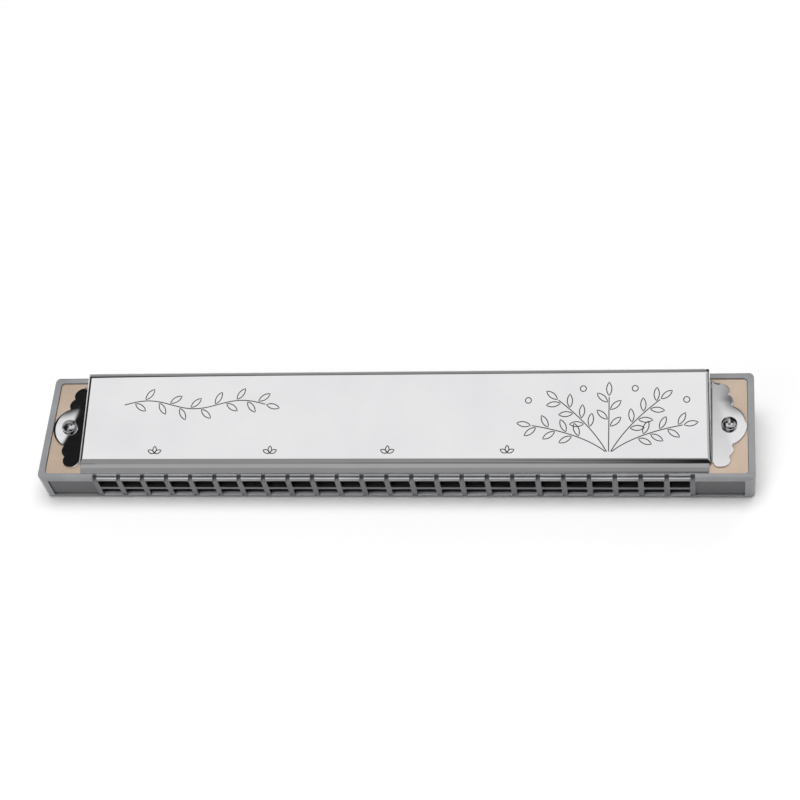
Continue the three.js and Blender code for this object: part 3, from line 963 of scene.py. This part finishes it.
def groove(bm, stroke, closed):
    """The material that one engraved stroke takes away."""
    count = len(stroke)
    rings = []
    for index, point in enumerate(stroke):
        before = stroke[index - 1] if closed or index else point
        after = stroke[(index + 1) % count] if closed or index + 1 < count else point
        ahead = (Vector(after) - Vector(before)).normalized()
        across = left_of(ahead)
        corners = ((-GROOVE.floor / 2, -GROOVE.depth), (GROOVE.floor / 2, -GROOVE.depth),
                   (GROOVE.width / 2, GROOVE.above), (-GROOVE.width / 2, GROOVE.above))
        rings.append([bm.verts.new(on_top(*(Vector(point) + across * offset), height))
                      for offset, height in corners])
    if closed:
        join_rings(bm, rings + rings[:1], close_ends=False)
    else:
        join_rings(bm, rings)


def layered(strokes):
    """The strokes in groups whose members keep clear of each other."""
    margin = GROOVE.width
    layers = []

    def fits(layer, box):
        return all(any(low > other_high or high < other_low
                       for (low, high), (other_low, other_high) in zip(box, other)) for *_, other in layer)

    for points, closed in strokes:
        box = [(min(values) - margin, max(values) + margin) for values in zip(*points)]
        layer = next((layer for layer in layers if fits(layer, box)), None)
        if layer is None:
            layer = []
            layers.append(layer)
        layer.append((points, closed, box))
    return layers


def engrave(cover):
    """Cuts the strokes into a cover's top and gives their floors the etched steel."""
    for layer in layered(spray() + leafy_stem(wave(), WAVE.leaves) + leaf_trios()):
        bm = bmesh.new()
        for points, closed, _ in layer:
            groove(bm, points, closed)
        combine(cover, "DIFFERENCE", solid(bm))
    if len(cover.data.materials) == 0:
        cover.data.materials.append(None)
    cover.data.materials.append(ETCHED)
    origin = Vector(on_top(0, 0, 0))
    outward = Vector(on_top(0, 0, 1)) - origin
    for face in cover.data.polygons:
        x, y, _ = face.center
        depth = -(face.center - origin).dot(outward)
        on_flat = COVER.fold_y + ETCH.inset < y < COVER.crown_y - ETCH.inset
        if abs(x) < ETCH.half and on_flat and ETCH.least < depth < ETCH.most:
            face.material_index = 1


# ---- screws and nuts


def thread(bm, x, z_low, z_high):
    """A threaded rod, its surface a helix."""
    steps = 24
    rows = round((z_high - z_low) / (SCREW.thread_pitch / 8))
    rings = []
    for z in spread(z_low, z_high, rows):
        ring = []
        for step in range(steps):
            angle = 2 * math.pi * step / steps
            phase = (z / SCREW.thread_pitch - step / steps) % 1
            radius = SCREW.shank - SCREW.thread_depth * abs(2 * phase - 1)
            ring.append(bm.verts.new((x + radius * math.cos(angle), radius * math.sin(angle), z)))
        rings.append(ring)
    join_rings(bm, rings)


def cross_wing(bm, x, top, turned):
    """One tapering arm pair of the cross in a screw's head."""
    rings = []
    for z, share in zip((top + PAST, top - SCREW.slot_depth), SCREW.slot_taper):
        half = SCREW.slot_length / 2 * share
        least = SCREW.slot_width_least
        width = SCREW.slot_width / 2 * (least + (1 - least) * share)
        corners = [(-half, -width), (half, -width), (half, width), (-half, width)]
        if turned:
            corners = [(-v, u) for u, v in corners]
        rings.append([bm.verts.new((x + u, v, z)) for u, v in corners])
    join_rings(bm, rings)


def make_screw(name, x):
    seat = ear_height(SCREW_X, 0) + PLATE.gap
    top = seat + SCREW.height
    head, rim, neck = SCREW.head, SCREW.rim, SCREW.neck
    crown = [(head * math.sin(a), top - SCREW.crown_drop * (1 - math.cos(a)))
             for a in quarter(7)[1:] + [math.pi / 2]]
    profile = [(0, top)] + crown + [(head, seat + rim), (head - rim, seat), (neck, seat),
                                    (neck, seat - PAST), (0, seat - PAST)]
    screw = cutter((lathe, profile, x, 0, BORE_STEPS))
    end = level_box(f"{name}_screw")[0].z
    combine(screw, "UNION", cutter((thread, x, end, seat - PAST / 2)))
    for turned in (False, True):
        combine(screw, "DIFFERENCE", cutter((cross_wing, x, top, turned)))
    soften(screw, SCREW.soften, angle=50)
    finish_piece(screw, f"{name}_cross_screw", SCREW_STEEL, [f"{name}_screw"])


def make_nut(name, x):
    low, high = (corner.z for corner in level_box(f"{name}_nut"))
    corner = NUT.across_flats / math.sqrt(3)
    nut = cutter((prism, arc((x, 0), corner, 30, 330, 5), "Z", low, high))
    inner, outer, ease = corner - NUT.chamfer_inset, corner + NUT.clear, NUT.chamfer
    profile = [(0, low), (inner, low), (outer, low + ease), (outer, (low + high) / 2),
               (outer, high - ease), (inner, high), (0, high)]
    combine(nut, "INTERSECT", cutter((lathe, profile, x, 0, BORE_STEPS)))
    combine(nut, "DIFFERENCE", cutter((bore, x, NUT.bore)))
    soften(nut, NUT.soften, angle=25)
    finish_piece(nut, f"{name}_hex_nut", SCREW_STEEL, [f"{name}_nut"])


# ---- assembly

make_comb()
for half in ("upper", "lower"):
    make_plate(half)
    make_rivets(half)
for reed_node in REED_NODES:
    make_reed(reed_node)

upper = cover_shape()
lower = mirrored(upper)
engrave(upper)
finish_piece(upper, "upper_mirror_cover", MIRROR, ["upper_cover"])
finish_piece(lower, "lower_mirror_cover", MIRROR, ["lower_cover"])
for end_name, end_side in (("bass", -1), ("treble", 1)):
    make_screw(end_name, end_side * SCREW_X)
    make_nut(end_name, end_side * SCREW_X)

# ---- floor, light and camera

FLOOR = Sizes(half=3.0, drop=0.0001)


def make_floor():
    bm = bmesh.new()
    bmesh.ops.create_grid(bm, x_segments=8, y_segments=8, size=FLOOR.half)
    floor = drawn(bm, "floor")
    floor.location.z = -FLOOR.drop
    floor.data.materials.append(Nodes("pale_floor", Base_Color=(0.95, 0.95, 0.95, 1), Roughness=0.75,
                                      Specular_IOR_Level=0.2).material)


# The studio that the mirrors show, in directions given by x/z and y/z.
SOFTBOX = Sizes(
    turn=math.radians(20), bass=-0.35, treble=0.4, front=-0.25, back=0.355, side_blur=0.03,
    treble_blur=0.15, front_blur=0.07, back_blur=0.07, strength=0.88)
BASS_DARK = Sizes(far=-1.2, blur=0.1, back=0.5)
REAR_DARK = Sizes(treble=-0.03, near=0.1, far=0.55, blur=0.05)
TREBLE_DARK = Sizes(bass=0.05, near=0.6, far=6.0, blur=0.12)
BEHIND_CAMERA = Sizes(near=-0.6, far=-6.0, bass=-0.1, treble=1.6, blur=0.12)
WALL = Sizes(plain=0.28, bass=0.5, bass_from=-2.0, treble_high=0.5, treble_low=0.1, foot=0.2, head=0.75)
DIM = 0.012
HORIZON = Sizes(low=0.08, high=0.2, near=0.2, far=0.6, strength=0.42)
BACKDROP = 0.93
LEAST_HEIGHT = 0.01


class Signal:
    """A number that a node of the world gives out, for reckoning with."""

    def __init__(self, node, output=0):
        self.nodes = node.id_data.nodes
        self.links = node.id_data.links
        self.socket = node.outputs[output]

    def put(self, socket, operand):
        if isinstance(operand, Signal):
            self.links.new(operand.socket, socket)
        else:
            socket.default_value = operand

    def feed(self, node, **operands):
        """The node's first output, with signals or numbers on its named sockets."""
        for name, operand in operands.items():
            self.put(node.inputs[name.replace("_", " ")], operand)
        return Signal(node)

    def maths(self, operation, *operands):
        node = self.nodes.new("ShaderNodeMath")
        node.operation = operation
        for socket, operand in zip(node.inputs, operands):
            self.put(socket, operand)
        return Signal(node)

    def __mul__(self, other):
        return self.maths("MULTIPLY", self, other)

    def __truediv__(self, other):
        return self.maths("DIVIDE", self, other)

    def __sub__(self, other):
        return self.maths("SUBTRACT", self, other)

    def at_least(self, other):
        return self.maths("MAXIMUM", self, other)

    def band(self, low, high, at_low=0.0, at_high=1.0):
        """A smooth change from at_low to at_high as this goes from low to high."""
        node = self.nodes.new("ShaderNodeMapRange")
        node.interpolation_type = "SMOOTHSTEP"
        return self.feed(node, Value=self, From_Min=low, From_Max=high, To_Min=at_low, To_Max=at_high)

    def above(self, level, blur):
        return self.band(level - blur, level + blur)

    def below(self, level, blur):
        return self.band(level + blur, level - blur)

    def within(self, low, high, blur):
        return self.above(low, blur) * self.below(high, blur)

    def mixed(self, other, share):
        """This where share is 0 and the other where it is 1."""
        return self.feed(self.nodes.new("ShaderNodeMix"), A=self, B=other, Factor=share)


def make_world():
    """Grey walls, a softbox overhead, and dark parts behind the softbox and behind the camera."""
    world = bpy.data.worlds.new("studio")
    scene.world = world
    world.use_nodes = True
    tree = world.node_tree
    direction = tree.nodes.new("ShaderNodeTexCoord")
    parts = tree.nodes.new("ShaderNodeSeparateXYZ")
    tree.links.new(direction.outputs["Generated"], parts.inputs[0])
    x, y, z = (Signal(parts, axis) for axis in "XYZ")
    height = z.at_least(LEAST_HEIGHT)
    across, along = x / height, y / height
    turned = across * math.cos(SOFTBOX.turn) - along * math.sin(SOFTBOX.turn)
    softbox = (turned.above(SOFTBOX.bass, SOFTBOX.side_blur)
               * turned.below(SOFTBOX.treble, SOFTBOX.treble_blur)
               * along.above(SOFTBOX.front, SOFTBOX.front_blur)
               * along.below(SOFTBOX.back, SOFTBOX.back_blur))
    rear = REAR_DARK
    dark = along.within(rear.near, rear.far, rear.blur) * across.below(rear.treble, rear.blur)
    treble, bass, behind = TREBLE_DARK, BASS_DARK, BEHIND_CAMERA
    for other in (
        along.within(treble.near, treble.far, treble.blur) * across.above(treble.bass, treble.blur),
        turned.within(bass.far, SOFTBOX.bass, bass.blur) * along.below(bass.back, bass.blur),
        along.within(behind.far, behind.near, behind.blur)
        * across.within(behind.bass, behind.treble, behind.blur),
    ):
        dark = dark.at_least(other)
    bass_wall = turned.band(BASS_DARK.far, WALL.bass_from, WALL.plain, WALL.bass)
    treble_wall = z.band(WALL.foot, WALL.head, WALL.treble_low, WALL.treble_high)
    treble_side = turned.above(SOFTBOX.treble, SOFTBOX.treble_blur)
    walls = dark.maths("SUBTRACT", 1.0, dark) * bass_wall.mixed(treble_wall, treble_side)
    ring = z.band(HORIZON.high, HORIZON.low) * x.band(HORIZON.far, HORIZON.near)
    lit = (softbox * SOFTBOX.strength).at_least((ring * HORIZON.strength).at_least(walls))
    camera_ray = Signal(tree.nodes.new("ShaderNodeLightPath"), "Is Camera Ray")
    light = lit.at_least(DIM).mixed(BACKDROP, camera_ray)
    light.feed(tree.nodes["Background"], Color=(1, 1, 1, 1), Strength=light)


def soft_light(name, place, aim, size, power):
    """A large lamp that lights matt surfaces but doesn't show in the mirrors."""
    data = bpy.data.lights.new(name, "AREA")
    data.shape = "DISK"
    data.size = size
    data.energy = power
    lamp = bpy.data.objects.new(name, data)
    scene.collection.objects.link(lamp)
    lamp.location = place
    lamp.rotation_euler = (Vector(aim) - Vector(place)).to_track_quat("-Z", "Y").to_euler()
    lamp.visible_glossy = False
    lamp.visible_camera = False


CAMERA = Sizes(
    aim=(0.0023, 0.0039, 0.0171), azimuth=12.723, elevation=44.609, roll=-9.3645, distance=0.50126,
    lens=89.323)


def make_camera():
    data = bpy.data.cameras.new("camera")
    data.lens = CAMERA.lens
    data.sensor_width = 36
    data.clip_start = 0.01
    camera = bpy.data.objects.new("camera", data)
    scene.collection.objects.link(camera)
    azimuth, elevation = math.radians(CAMERA.azimuth), math.radians(CAMERA.elevation)
    back = Vector((math.sin(azimuth) * math.cos(elevation), -math.cos(azimuth) * math.cos(elevation),
                   math.sin(elevation)))
    camera.location = Vector(CAMERA.aim) + back * CAMERA.distance
    level = (-back).to_track_quat("-Z", "Y")
    camera.rotation_mode = "QUATERNION"
    camera.rotation_quaternion = level @ Matrix.Rotation(math.radians(CAMERA.roll), 3, "Z").to_quaternion()
    scene.camera = camera


make_floor()
make_world()
soft_light("overhead", (0, -0.1, 1.2), (0, 0, 0), 1.2, 12.5)
soft_light("front_fill", (-0.6, -0.8, 0.5), (0, 0, 0), 0.7, 2.5)
soft_light("rear_fill", (0.5, 1.3, 0.5), (0, 0, 0), 0.9, 5)
make_camera()
scene.view_settings.view_transform = "Standard"
